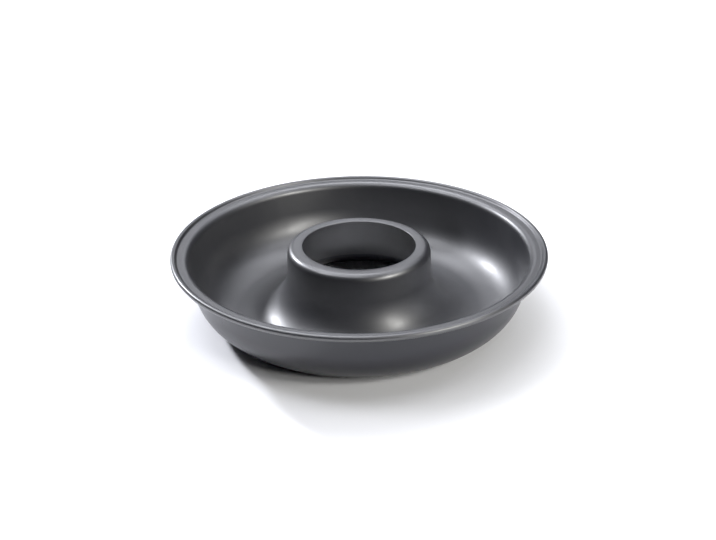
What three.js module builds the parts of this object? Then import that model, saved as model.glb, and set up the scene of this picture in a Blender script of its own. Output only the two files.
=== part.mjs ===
// Savarin mould: a ring-shaped cake tin, deep drawn from one sheet of coated steel, with a wired rim.
// Millimetres and degrees, +Z up. The origin is on the axis, level with the table that the mould stands on.
// The whole tin is one profile of lines and arcs, the same thickness all along, turned round the axis.

import * as THREE from 'three';

// Driving dimensions
const rimDiameter = 260; // over the rolled rim
const overallHeight = 50; // table to the top of the rim
const sheet = 0.6; // steel sheet with its coating

const wireDiameter = 2; // steel wire inside the rolled rim
const wireClearance = 0.3; // between the wire and the sheet rolled round it
const curlSlit = 0.3; // between the rolled end of the sheet and the underside of the flange
const stepRadius = 1.8; // inside radius where the flange steps up into the rolled rim

const flangeDrop = 2.2; // top of the rim down to the top of the flange
const flangeFlat = 2.3; // level part of the flange
const flangeCorner = 5.2; // radius where the flange turns down into the channel

const wallDraft = 6; // lean of the outer wall, so that the cake slides out
const baseFlat = 4; // width of the ring that stands on the table

const chimneyDiameter = 100; // over the chimney's wall, just under its shoulder
const chimneyDrop = 1.1; // top of the rim down to the chimney's flat top
const chimneyDraft = 3; // lean of the chimney's wall
const shoulderRadius = 5; // rounded edge of the chimney's top
const boreDiameter = 79; // hole pierced through the chimney's top

// Fineness of the facets
const turnSteps = 64; // round the axis
const formArcStep = 18; // largest turn between points on the shoulder, the channel and the flange corner
const rimArcStep = 30; // largest turn between points on the step and the roll of the rim
const wireSides = 8;

const radians = THREE.MathUtils.degToRad;
const up = radians(90);
const down = radians(-90);

// Rim: the sheet leaves the flange, steps up and is rolled outwards, down and back under round the wire.
const wireRadius = wireDiameter / 2;
const curlRadius = wireRadius + wireClearance + sheet;
const curlR = rimDiameter / 2 - curlRadius;
const curlZ = overallHeight - curlRadius;
const flangeZ = overallHeight - flangeDrop;
const stepZ = flangeZ + stepRadius;
const stepReach = stepRadius + curlRadius;
const stepLean = Math.asin((curlZ - stepZ) / stepReach);
const stepR = curlR - stepReach * Math.cos(stepLean);
const curlStart = Math.PI + stepLean;
const endReach = stepRadius + sheet + curlSlit;
const unrolledCosine = (stepReach ** 2 + curlRadius ** 2 - endReach ** 2) / (2 * stepReach * curlRadius);
const curlEnd = curlStart - 2 * Math.PI + Math.acos(unrolledCosine);

// Flange corner and outer wall
const cornerR = stepR - flangeFlat;
const cornerZ = flangeZ - flangeCorner;
const wallLean = radians(wallDraft);
const wallTopR = cornerR - flangeCorner * Math.cos(wallLean);
const wallTopZ = cornerZ + flangeCorner * Math.sin(wallLean);

// Chimney
const chimneyZ = overallHeight - chimneyDrop;
const chimneyLean = radians(chimneyDraft);
const shoulderR = chimneyDiameter / 2 - shoulderRadius;
const shoulderZ = chimneyZ - shoulderRadius;
const chimneyWallR = shoulderR + shoulderRadius * Math.cos(chimneyLean);
const chimneyWallZ = shoulderZ + shoulderRadius * Math.sin(chimneyLean);

// Channel: both walls run down to the level of its floor, and two equal arcs round them off so that
// just the standing ring stays flat between the arcs. The arcs end below the edges of both walls.
const floorZ = sheet;
const wallFootR = wallTopR - (wallTopZ - floorZ) * Math.tan(wallLean);
const chimneyFootR = chimneyWallR + (chimneyWallZ - floorZ) * Math.tan(chimneyLean);
const wallFootReach = Math.tan(up / 2 - wallLean / 2);
const chimneyFootReach = Math.tan(up / 2 - chimneyLean / 2);
const roundRadius = (wallFootR - chimneyFootR - baseFlat) / (wallFootReach + chimneyFootReach);
const deepestRadius = Math.min(
	(wallTopZ - floorZ) / (1 - Math.sin(wallLean)),
	(chimneyWallZ - floorZ) / (1 - Math.sin(chimneyLean)),
);
const channelRadius = Math.min(roundRadius, deepestRadius);
const channelZ = floorZ + channelRadius;
const outerArcR = wallFootR - channelRadius * wallFootReach;
const innerArcR = chimneyFootR + channelRadius * chimneyFootReach;

// Points along an arc, from one angle to another, with its ends.
function arc(centreR, centreZ, radius, from, to, largestStep) {
	const steps = Math.ceil(Math.abs(to - from) / radians(largestStep));
	return Array.from({ length: steps + 1 }, (_, i) => {
		const angle = THREE.MathUtils.lerp(from, to, i / steps);
		return new THREE.Vector2(centreR + radius * Math.cos(angle), centreZ + radius * Math.sin(angle));
	});
}

// One face of the sheet from the bore to its rolled end, at a depth below the face that the cake touches.
// Both faces share their arc centres, so the sheet is equally thick all along.
function sheetFace(depth) {
	return [
		new THREE.Vector2(boreDiameter / 2, chimneyZ - depth),
		...arc(shoulderR, shoulderZ, shoulderRadius - depth, up, chimneyLean, formArcStep),
		...arc(innerArcR, channelZ, channelRadius + depth, chimneyLean - Math.PI, down, formArcStep),
		...arc(outerArcR, channelZ, channelRadius + depth, down, -wallLean, formArcStep),
		...arc(cornerR, cornerZ, flangeCorner - depth, Math.PI - wallLean, up, formArcStep),
		...arc(stepR, stepZ, stepRadius + depth, down, stepLean, rimArcStep).slice(0, -1),
		...arc(curlR, curlZ, curlRadius - depth, curlStart, curlEnd, rimArcStep),
	];
}

// A closed profile in the plane of radius and height, turned round the axis. The lathe's axis is Y.
function turned(profile) {
	return new THREE.LatheGeometry([...profile, profile[0]], turnSteps);
}

// The drawn sheet: lower face outwards, then the upper face back to the bore.
function mouldBody() {
	const profile = [...sheetFace(sheet), ...sheetFace(0).reverse()];
	const coating = new THREE.MeshStandardMaterial({ color: 0x3b3c40, roughness: 0.36, metalness: 0.55 });
	const mesh = new THREE.Mesh(turned(profile), coating);
	mesh.name = 'mould_body';
	return mesh;
}

// The wire that stiffens the rim, in the middle of the roll.
function rimWire() {
	const section = arc(curlR, curlZ, wireRadius, 0, 2 * Math.PI, 360 / wireSides).slice(0, -1);
	const steel = new THREE.MeshStandardMaterial({ color: 0x9a9da1, roughness: 0.4, metalness: 1 });
	const mesh = new THREE.Mesh(turned(section), steel);
	mesh.name = 'rim_wire';
	return mesh;
}

// The lathe turns about Y, so the group stands the tin up on Z.
const savarinMould = new THREE.Group();
savarinMould.rotation.x = up;
savarinMould.add(mouldBody(), rimWire());

export default savarinMould;
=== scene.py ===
import math

import bmesh
import bpy
from mathutils import Matrix, Vector


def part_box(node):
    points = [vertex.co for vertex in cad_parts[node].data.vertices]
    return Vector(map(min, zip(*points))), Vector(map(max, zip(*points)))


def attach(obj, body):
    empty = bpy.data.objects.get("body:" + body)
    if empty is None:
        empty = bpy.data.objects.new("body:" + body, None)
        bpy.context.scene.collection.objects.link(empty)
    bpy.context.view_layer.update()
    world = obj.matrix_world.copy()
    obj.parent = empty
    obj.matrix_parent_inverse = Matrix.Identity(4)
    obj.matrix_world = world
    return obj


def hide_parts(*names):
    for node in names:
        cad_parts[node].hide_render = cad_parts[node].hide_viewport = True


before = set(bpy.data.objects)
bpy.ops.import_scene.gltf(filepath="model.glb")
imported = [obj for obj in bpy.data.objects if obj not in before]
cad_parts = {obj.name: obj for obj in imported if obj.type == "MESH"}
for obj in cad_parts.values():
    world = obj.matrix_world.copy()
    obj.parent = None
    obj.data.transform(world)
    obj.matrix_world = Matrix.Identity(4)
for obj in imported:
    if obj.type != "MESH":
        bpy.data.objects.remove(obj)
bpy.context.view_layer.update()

mm = 0.001  # sizes below are in millimetres unless a note says otherwise, and Blender works in metres
weldDistance = 0.001  # points nearer than this are one point
noiseLow, noiseHigh = 0.3, 0.7  # most values of a noise pattern lie between these


# One sRGB hex colour as linear RGBA, the form that colour sockets take
def linearColour(hexColour):
    srgb = [int(hexColour[i:i + 2], 16) / 255 for i in (1, 3, 5)]
    linear = [c / 12.92 if c <= 0.04045 else ((c + 0.055) / 1.055) ** 2.4 for c in srgb]
    return (*linear, 1.0)


# Noise scale that makes blotches of a real size, in millimetres
def noiseScale(size):
    return 1 / (size * mm)


# Adds a node with its settings, and sets or links each input by its name or number
def addNode(tree, kind, inputs=None, **settings):
    node = tree.nodes.new(kind)
    for name, value in settings.items():
        setattr(node, name, value)
    for name, value in (inputs or {}).items():
        socket = node.inputs[name]
        if isinstance(value, bpy.types.NodeSocket):
            tree.links.new(value, socket)
        else:
            socket.default_value = value
    return node


# A material with nothing in it but its output
def newMaterial(name):
    material = bpy.data.materials.new(name)
    material.use_nodes = True
    tree = material.node_tree
    tree.nodes.clear()
    output = addNode(tree, "ShaderNodeOutputMaterial")
    return material, tree, output


# Points along an arc in the plane of radius and height, with both ends
def arcPoints(centreR, centreZ, radius, startAngle, endAngle, steps):
    points = []
    for i in range(steps + 1):
        angle = startAngle + (endAngle - startAngle) * i / steps
        points.append((centreR + radius * math.cos(angle), centreZ + radius * math.sin(angle)))
    return points


# Turns a closed section, given as radius and height, round Z into a smooth mesh object
def turnedObject(name, section, steps):
    work = bmesh.new()
    corners = [work.verts.new((r * mm, 0, z * mm)) for r, z in section]
    edges = [work.edges.new(pair) for pair in zip(corners, corners[1:] + corners[:1])]
    bmesh.ops.spin(work, geom=corners + edges, cent=(0, 0, 0), axis=(0, 0, 1), angle=math.tau,
                   steps=steps, use_merge=True, use_duplicate=False)
    bmesh.ops.remove_doubles(work, verts=work.verts, dist=weldDistance * mm)
    bmesh.ops.recalc_face_normals(work, faces=work.faces)
    for turnedFace in work.faces:
        turnedFace.smooth = True
    mesh = bpy.data.meshes.new(name)
    work.to_mesh(mesh)
    work.free()
    piece = bpy.data.objects.new(name, mesh)
    bpy.context.scene.collection.objects.link(piece)
    return piece


# The drawn sheet. Its rolled rim sits on the wire, so the wire's place in the frame starts off the section.
shell = {
    "sheet": 0.6,  # steel with its coating
    "wireClearance": 0.3,
    "curlSlit": 0.3,
    "stepRadius": 1.8,
    "flangeDrop": 2.2,
    "flangeFlat": 2.3,
    "flangeCorner": 5.2,
    "wallDraft": 6.0,  # degrees
    "baseFlat": 4.0,
    "chimneyDiameter": 100.0,
    "chimneyDrop": 1.1,
    "chimneyDraft": 3.0,  # degrees
    "shoulderRadius": 5.0,
    "boreDiameter": 79.0,
    "turnSteps": 240,  # facets round the axis
    "channelSteps": 28,
    "shoulderSteps": 12,
    "cornerSteps": 8,
    "curlSteps": 36,
    "edgeSteps": 4,
}

wireLow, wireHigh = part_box("rim_wire")
wireRadius = (wireHigh[2] - wireLow[2]) / 2 / mm
curlZ = (wireHigh[2] + wireLow[2]) / 2 / mm
curlR = wireHigh[0] / mm - wireRadius


# Centres, radii and angles of the section's arcs
def shellPlaces(s):
    p = {}
    p["curlRadius"] = wireRadius + s["wireClearance"] + s["sheet"]
    p["rimTop"] = curlZ + p["curlRadius"]
    p["flangeZ"] = p["rimTop"] - s["flangeDrop"]
    p["stepZ"] = p["flangeZ"] + s["stepRadius"]
    stepReach = s["stepRadius"] + p["curlRadius"]
    p["stepLean"] = math.asin((curlZ - p["stepZ"]) / stepReach)
    p["stepR"] = curlR - stepReach * math.cos(p["stepLean"])
    p["curlStart"] = math.pi + p["stepLean"]
    endReach = s["stepRadius"] + s["sheet"] + s["curlSlit"]
    sides = stepReach ** 2 + p["curlRadius"] ** 2 - endReach ** 2
    p["curlEnd"] = p["curlStart"] - math.tau + math.acos(sides / (2 * stepReach * p["curlRadius"]))

    p["wallLean"] = math.radians(s["wallDraft"])
    p["cornerR"] = p["stepR"] - s["flangeFlat"]
    p["cornerZ"] = p["flangeZ"] - s["flangeCorner"]
    wallTopR = p["cornerR"] - s["flangeCorner"] * math.cos(p["wallLean"])
    wallTopZ = p["cornerZ"] + s["flangeCorner"] * math.sin(p["wallLean"])

    p["chimneyLean"] = math.radians(s["chimneyDraft"])
    p["chimneyZ"] = p["rimTop"] - s["chimneyDrop"]
    p["shoulderR"] = s["chimneyDiameter"] / 2 - s["shoulderRadius"]
    p["shoulderZ"] = p["chimneyZ"] - s["shoulderRadius"]
    chimneyWallR = p["shoulderR"] + s["shoulderRadius"] * math.cos(p["chimneyLean"])
    chimneyWallZ = p["shoulderZ"] + s["shoulderRadius"] * math.sin(p["chimneyLean"])

    # Both walls run down to the channel's floor, and two equal arcs round them off beside the standing ring
    wallFootR = wallTopR - (wallTopZ - s["sheet"]) * math.tan(p["wallLean"])
    chimneyFootR = chimneyWallR + (chimneyWallZ - s["sheet"]) * math.tan(p["chimneyLean"])
    wallReach = math.tan(math.pi / 4 - p["wallLean"] / 2)
    chimneyReach = math.tan(math.pi / 4 - p["chimneyLean"] / 2)
    p["channelRadius"] = (wallFootR - chimneyFootR - s["baseFlat"]) / (wallReach + chimneyReach)
    p["channelZ"] = s["sheet"] + p["channelRadius"]
    p["outerArcR"] = wallFootR - p["channelRadius"] * wallReach
    p["innerArcR"] = chimneyFootR + p["channelRadius"] * chimneyReach
    return p


# One face of the sheet, from the bore to its rolled end, at a depth below the side that the cake touches
def sheetFace(s, p, depth):
    up, down = math.pi / 2, -math.pi / 2
    shoulderRadius = s["shoulderRadius"] - depth
    channelRadius = p["channelRadius"] + depth
    chimneyFoot = p["chimneyLean"] - math.pi
    wallTop = math.pi - p["wallLean"]
    chimneyTop = p["chimneyLean"]
    shoulder = arcPoints(p["shoulderR"], p["shoulderZ"], shoulderRadius, up, chimneyTop, s["shoulderSteps"])
    inner = arcPoints(p["innerArcR"], p["channelZ"], channelRadius, chimneyFoot, down, s["channelSteps"])
    outer = arcPoints(p["outerArcR"], p["channelZ"], channelRadius, down, -p["wallLean"], s["channelSteps"])
    corner = arcPoints(p["cornerR"], p["cornerZ"], s["flangeCorner"] - depth, wallTop, up, s["cornerSteps"])
    step = arcPoints(p["stepR"], p["stepZ"], s["stepRadius"] + depth, down, p["stepLean"], s["cornerSteps"])
    curl = arcPoints(curlR, curlZ, p["curlRadius"] - depth, p["curlStart"], p["curlEnd"], s["curlSteps"])
    return shoulder + inner + outer + corner + step[:-1] + curl


# The whole section: lower face outwards, upper face back, with both cut edges of the sheet rounded over
def shellSection(s, p):
    half = s["sheet"] / 2
    boreR = s["boreDiameter"] / 2 + half
    boreEdge = arcPoints(boreR, p["chimneyZ"] - half, half, math.pi / 2, math.pi * 1.5, s["edgeSteps"])
    endReach = p["curlRadius"] - half
    endR = curlR + endReach * math.cos(p["curlEnd"])
    endZ = curlZ + endReach * math.sin(p["curlEnd"])
    curlEdge = arcPoints(endR, endZ, half, p["curlEnd"] - math.pi, p["curlEnd"], s["edgeSteps"])
    return boreEdge + sheetFace(s, p, s["sheet"]) + curlEdge[1:-1] + sheetFace(s, p, 0)[::-1]


# How far hands, knives and shelves rub the coating away from each edge
rubbing = {
    "rim": 1.6,
    "bore": 0.9,
    "shoulder": 2.4,
    "flangeCorner": 1.4,
    "foot": 4.5,
    "shoulderMiddle": (0.7, 0.7),  # outwards and up from the centre of the arc, as shares of its radius
    "cornerMiddle": (-0.5, 0.85),
}


# Radius and height of each rubbed edge, and how far the rubbing reaches
def rubbedEdges(s, p):
    shoulderOut, shoulderUp = rubbing["shoulderMiddle"]
    shoulderR = p["shoulderR"] + s["shoulderRadius"] * shoulderOut
    shoulderZ = p["shoulderZ"] + s["shoulderRadius"] * shoulderUp
    cornerOut, cornerUp = rubbing["cornerMiddle"]
    cornerR = p["cornerR"] + s["flangeCorner"] * cornerOut
    cornerZ = p["cornerZ"] + s["flangeCorner"] * cornerUp
    return [
        (curlR, p["rimTop"], rubbing["rim"]),
        (s["boreDiameter"] / 2, p["chimneyZ"] - s["sheet"] / 2, rubbing["bore"]),
        (shoulderR, shoulderZ, rubbing["shoulder"]),
        (cornerR, cornerZ, rubbing["flangeCorner"]),
        ((p["innerArcR"] + p["outerArcR"]) / 2, 0.0, rubbing["foot"]),
    ]


# Stores on each vertex how much its place is rubbed, 0 to 1, for the coating to read
def markRubbing(piece, edges):
    rubbed = piece.data.attributes.new("rubbed", "FLOAT", "POINT")
    for vertex in piece.data.vertices:
        r = math.hypot(vertex.co.x, vertex.co.y) / mm
        z = vertex.co.z / mm
        amounts = [1 - math.hypot(r - edgeR, z - edgeZ) / reach for edgeR, edgeZ, reach in edges]
        rubbed.data[vertex.index].value = max(0, *amounts)


# Non-stick coating, sprayed and baked on drawn steel: near-black satin. A thin glossier skin lies over a
# duller body, so a lamp shows in it as a soft bright core with a wide haze round it. The outside gets a
# plainer coat, a little bluer and with less shine.
coating = {
    "inside": {
        "thinColour": "#0d0e14",
        "thickColour": "#12131b",
        "roughness": (0.43, 0.50),  # from thick film to thin
        "ior": 2.1,  # polymer full of metal flake, so well above the 1.5 of a clear plastic
        "skinWeight": 0.35,
        "skinRoughness": 0.28,
    },
    "outside": {
        "thinColour": "#14151e",
        "thickColour": "#191a25",
        "roughness": (0.28, 0.34),
        "ior": 1.66,
        "skinWeight": 0.1,
        "skinRoughness": 0.3,
    },
    "rubbedColour": "#3a3b3f",
    "rubbedShare": 0.35,
    "rubbedRoughness": 0.34,
    "mottleSize": 24.0,  # uneven film from the spray gun
    "waveSize": 9.0,  # sheet that isn't quite even after drawing
    "waveDepth": 0.004,
    "grainSize": 1.2,  # spray grain is nearer 0.2 mm, drawn coarser so that it shows
    "grainDepth": 0.0015,
    "drawMarkWidth": 1.6,  # marks of the press tool, down the walls
    "drawMarkRadius": 90.0,
    "drawMarkRoughness": 0.03,
    "rollMargin": 1.05,  # the inside coat keeps within this many radii of the middle of the roll
    "sprayDepth": 0.5,  # on the back of the chimney it ends at this share of the arc centres' height
}


def nonStickCoating(name, c, side):
    material, tree, output = newMaterial(name)
    place = addNode(tree, "ShaderNodeTexCoord").outputs["Object"]

    mottle = addNode(tree, "ShaderNodeTexNoise", {
        "Vector": place, "Scale": noiseScale(c["mottleSize"]), "Detail": 4.0, "Roughness": 0.55})
    wave = addNode(tree, "ShaderNodeTexNoise", {
        "Vector": place, "Scale": noiseScale(c["waveSize"]), "Detail": 1.0})
    grain = addNode(tree, "ShaderNodeTexNoise", {
        "Vector": place, "Scale": noiseScale(c["grainSize"]), "Detail": 2.0})

    # Draw marks keep to one direction from the axis, so they run down the walls and across the flange
    level = addNode(tree, "ShaderNodeVectorMath", {0: place, 1: (1, 1, 0)}, operation="MULTIPLY")
    bearing = addNode(tree, "ShaderNodeVectorMath", {0: level.outputs[0]}, operation="NORMALIZE")
    drawMarks = addNode(tree, "ShaderNodeTexNoise", {
        "Vector": bearing.outputs[0], "Scale": c["drawMarkRadius"] / c["drawMarkWidth"], "Detail": 3.0})

    film = addNode(tree, "ShaderNodeMix", {
        "Factor": mottle.outputs["Fac"],
        6: linearColour(side["thinColour"]),
        7: linearColour(side["thickColour"]),
    }, data_type="RGBA")
    rubbed = addNode(tree, "ShaderNodeAttribute", attribute_name="rubbed")
    patchy = addNode(tree, "ShaderNodeMath", {
        0: rubbed.outputs["Fac"], 1: wave.outputs["Fac"]}, operation="MULTIPLY")
    colourWear = addNode(tree, "ShaderNodeMath", {
        0: patchy.outputs[0], 1: c["rubbedShare"]}, operation="MULTIPLY")
    colour = addNode(tree, "ShaderNodeMix", {
        "Factor": colourWear.outputs[0],
        6: film.outputs[2],
        7: linearColour(c["rubbedColour"]),
    }, data_type="RGBA")

    smoothest, roughest = side["roughness"]
    filmGloss = addNode(tree, "ShaderNodeMapRange", {
        "Value": mottle.outputs["Fac"], "From Min": noiseLow, "From Max": noiseHigh,
        "To Min": roughest, "To Max": smoothest})
    markGloss = addNode(tree, "ShaderNodeMapRange", {
        "Value": drawMarks.outputs["Fac"], "From Min": noiseLow, "From Max": noiseHigh,
        "To Min": -c["drawMarkRoughness"] / 2, "To Max": c["drawMarkRoughness"] / 2})
    gloss = addNode(tree, "ShaderNodeMath", {0: filmGloss.outputs[0], 1: markGloss.outputs[0]})
    roughness = addNode(tree, "ShaderNodeMix", {
        "Factor": patchy.outputs[0], 2: gloss.outputs[0], 3: c["rubbedRoughness"]}, data_type="FLOAT")

    sheetBump = addNode(tree, "ShaderNodeBump", {
        "Height": wave.outputs["Fac"], "Distance": c["waveDepth"] * mm, "Strength": 1.0})
    grainBump = addNode(tree, "ShaderNodeBump", {
        "Height": grain.outputs["Fac"], "Distance": c["grainDepth"] * mm, "Strength": 1.0,
        "Normal": sheetBump.outputs["Normal"]})
    shader = addNode(tree, "ShaderNodeBsdfPrincipled", {
        "Base Color": colour.outputs[2],
        "Roughness": roughness.outputs[0],
        "IOR": side["ior"],
        "Coat Weight": side["skinWeight"],
        "Coat Roughness": side["skinRoughness"],
        "Normal": grainBump.outputs["Normal"],
    })
    tree.links.new(shader.outputs["BSDF"], output.inputs["Surface"])
    return material


# The outside coat is on all that faces down, save on the roll, where the inside coat goes round with the
# sheet, and on the back of the chimney, which the spray from above reaches through the bore
def coatOutside(piece, places):
    for face in piece.data.polygons:
        r = math.hypot(face.center.x, face.center.y) / mm
        z = face.center.z / mm
        onRoll = math.hypot(r - curlR, z - curlZ) < places["curlRadius"] * coating["rollMargin"]
        inBore = r < places["innerArcR"] and z > places["channelZ"] * coating["sprayDepth"]
        face.material_index = 1 if face.normal.z < 0 and not onRoll and not inBore else 0


def makeShell():
    places = shellPlaces(shell)
    piece = turnedObject("mould_shell", shellSection(shell, places), shell["turnSteps"])
    markRubbing(piece, rubbedEdges(shell, places))
    piece.data.materials.append(nonStickCoating("satin_nonstick_coating", coating, coating["inside"]))
    piece.data.materials.append(nonStickCoating("plain_outside_coating", coating, coating["outside"]))
    coatOutside(piece, places)
    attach(piece, "root")
    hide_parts("mould_body")
    print("shell made,", len(piece.data.polygons), "faces")


makeShell()

# Steel wire, drawn bright through a die: a metal with fine lines along its length and a dull film of oil
wire = {
    "sides": 20,
    "turnSteps": 240,
    "cleanColour": "#a9abae",
    "oiledColour": "#85868a",
    "roughness": (0.28, 0.42),
    "lineWidth": 0.12,
    "lineDepth": 0.002,
    "oilSize": 14.0,
}


def drawnWireSteel(w):
    material, tree, output = newMaterial("drawn_wire_steel")
    place = addNode(tree, "ShaderNodeTexCoord").outputs["Object"]

    # Lines keep their radius and height all the way round, so they follow the wire
    level = addNode(tree, "ShaderNodeVectorMath", {0: place, 1: (1, 1, 0)}, operation="MULTIPLY")
    radius = addNode(tree, "ShaderNodeVectorMath", {0: level.outputs[0]}, operation="LENGTH")
    height = addNode(tree, "ShaderNodeSeparateXYZ", {0: place})
    along = addNode(tree, "ShaderNodeCombineXYZ", {"X": radius.outputs["Value"], "Y": height.outputs["Z"]})
    lines = addNode(tree, "ShaderNodeTexNoise", {
        "Vector": along.outputs[0], "Scale": noiseScale(w["lineWidth"]), "Detail": 2.0})
    oil = addNode(tree, "ShaderNodeTexNoise", {
        "Vector": place, "Scale": noiseScale(w["oilSize"]), "Detail": 3.0})

    colour = addNode(tree, "ShaderNodeMix", {
        "Factor": oil.outputs["Fac"], 6: linearColour(w["cleanColour"]), 7: linearColour(w["oiledColour"])},
        data_type="RGBA")
    brightest, dullest = w["roughness"]
    roughness = addNode(tree, "ShaderNodeMapRange", {
        "Value": oil.outputs["Fac"], "From Min": noiseLow, "From Max": noiseHigh,
        "To Min": brightest, "To Max": dullest})
    bump = addNode(tree, "ShaderNodeBump", {
        "Height": lines.outputs["Fac"], "Distance": w["lineDepth"] * mm, "Strength": 1.0})
    shader = addNode(tree, "ShaderNodeBsdfPrincipled", {
        "Base Color": colour.outputs[2],
        "Metallic": 1.0,
        "Roughness": roughness.outputs[0],
        "Normal": bump.outputs["Normal"],
    })
    tree.links.new(shader.outputs["BSDF"], output.inputs["Surface"])
    return material


def makeWire():
    section = arcPoints(curlR, curlZ, wireRadius, 0, math.tau, wire["sides"])[:-1]
    piece = turnedObject("rim_wire_ring", section, wire["turnSteps"])
    piece.data.materials.append(drawnWireSteel(wire))
    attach(piece, "root")
    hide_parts("rim_wire")
    print("rim wire made,", len(piece.data.polygons), "faces")


makeWire()

# Floor: a round sheet of plain white paper, cut where the lamps still light it fully
floorPaper = {"radius": 750.0, "sides": 96, "colour": "#fbfbfc"}


def makeFloor(f):
    bpy.ops.mesh.primitive_circle_add(vertices=f["sides"], radius=f["radius"] * mm, fill_type="NGON")
    floor = bpy.context.object
    floor.name = "studio_floor"
    material, tree, output = newMaterial("white_paper")
    shader = addNode(tree, "ShaderNodeBsdfDiffuse", {"Color": linearColour(f["colour"])})
    tree.links.new(shader.outputs["BSDF"], output.inputs["Surface"])
    floor.data.materials.append(material)
    print("floor laid")


makeFloor(floorPaper)

# Camera: a 50 mm lens a little above the table, a trace out of level
view = {
    "lens": 50.0,
    "sensor": 36.0,
    "aim": (-0.87, 0.0, 28.9),
    "distance": 701.8,
    "elevation": 26.63,  # degrees
    "roll": 0.68,  # degrees
}


def makeCamera(v):
    data = bpy.data.cameras.new("camera")
    data.lens = v["lens"]
    data.sensor_width = v["sensor"]
    data.sensor_fit = "HORIZONTAL"
    camera = bpy.data.objects.new("camera", data)
    bpy.context.scene.collection.objects.link(camera)
    lift = math.radians(v["elevation"])
    back = Vector((0, -math.cos(lift), math.sin(lift)))
    place = (Vector(v["aim"]) + back * v["distance"]) * mm
    turn = back.to_track_quat("Z", "Y").to_matrix().to_4x4()
    roll = Matrix.Rotation(math.radians(-v["roll"]), 4, "Z")
    camera.matrix_world = Matrix.Translation(place) @ turn @ roll
    bpy.context.scene.camera = camera
    print("camera placed")


makeCamera(view)

# Studio lamps, in metres and watts. Turn is in degrees from straight behind the mould, plus to the right of
# it, and lift is the angle above the floor. A lamp marked mattOnly whitens the paper and doesn't show in the
# gloss. Daylight is their colour, unless one has its own.
lamps = {
    "key": {"turn": -48, "lift": 29.6, "distance": 1.9, "size": (0.16, 0.3), "power": 27.5},
    "floorKey": {"turn": -49, "lift": 28.5, "distance": 2.6, "size": (0.2, 0.2), "power": 32,
                 "mattOnly": True},
    "topBack": {"turn": -12, "lift": 60, "distance": 1.15, "size": (0.7, 0.6), "power": 5.8},
    "topBackRight": {"turn": 40, "lift": 58, "distance": 1.2, "size": (0.5, 0.5), "power": 2.3},
    "topLeft": {"turn": -90, "lift": 60, "distance": 1.2, "size": (0.5, 0.5), "power": 4.2},
    "topRight": {"turn": 92, "lift": 57, "distance": 1.2, "size": (0.5, 0.4), "power": 2.2},
    "topMid": {"turn": 0, "lift": 88, "distance": 1.2, "size": (0.6, 0.6), "power": 1.0},
    "topFront": {"turn": -158, "lift": 75, "distance": 1.2, "size": (0.8, 0.3), "power": 2.2},
    "backGlow": {"turn": 0, "lift": 25, "distance": 1.6, "size": (0.9, 0.3), "power": 1.5},
    "fillLow": {"turn": 135, "lift": 24, "distance": 1.4, "size": (0.26, 0.26), "power": 5.4,
                "colour": "#fffefa"},
    "fillHigh": {"turn": 124, "lift": 34, "distance": 1.4, "size": (0.26, 0.34), "power": 7,
                 "colour": "#fffefa"},
}
daylight = "#f6f8ff"


def makeLamp(name, lamp):
    data = bpy.data.lights.new(name, "AREA")
    data.shape = "ELLIPSE"
    data.size, data.size_y = lamp["size"]
    data.energy = lamp["power"]
    data.color = linearColour(lamp.get("colour", daylight))[:3]
    turn, lift = math.radians(lamp["turn"]), math.radians(lamp["lift"])
    toward = Vector((math.sin(turn) * math.cos(lift), math.cos(turn) * math.cos(lift), math.sin(lift)))
    light = bpy.data.objects.new(name, data)
    light.location = toward * lamp["distance"]
    light.rotation_euler = toward.to_track_quat("Z", "Y").to_euler()
    bpy.context.scene.collection.objects.link(light)
    light.visible_glossy = not lamp.get("mattOnly", False)


for lampName, lampSettings in lamps.items():
    makeLamp(lampName, lampSettings)
print(len(lamps), "lamps hung")

# White beyond the edge of the floor paper, for the camera only: the lamps do all the lighting. It is a
# little over white, as the lit paper is, so the edge doesn't show.
backdropStrength = 1.5
world = bpy.data.worlds.new("studio")
world.use_nodes = True
backdrop = world.node_tree.nodes["Background"]
backdrop.inputs["Color"].default_value = (1, 1, 1, 1)
backdrop.inputs["Strength"].default_value = backdropStrength
world.cycles_visibility.diffuse = False
world.cycles_visibility.glossy = False
bpy.context.scene.world = world
bpy.context.scene.view_settings.view_transform = "Standard"
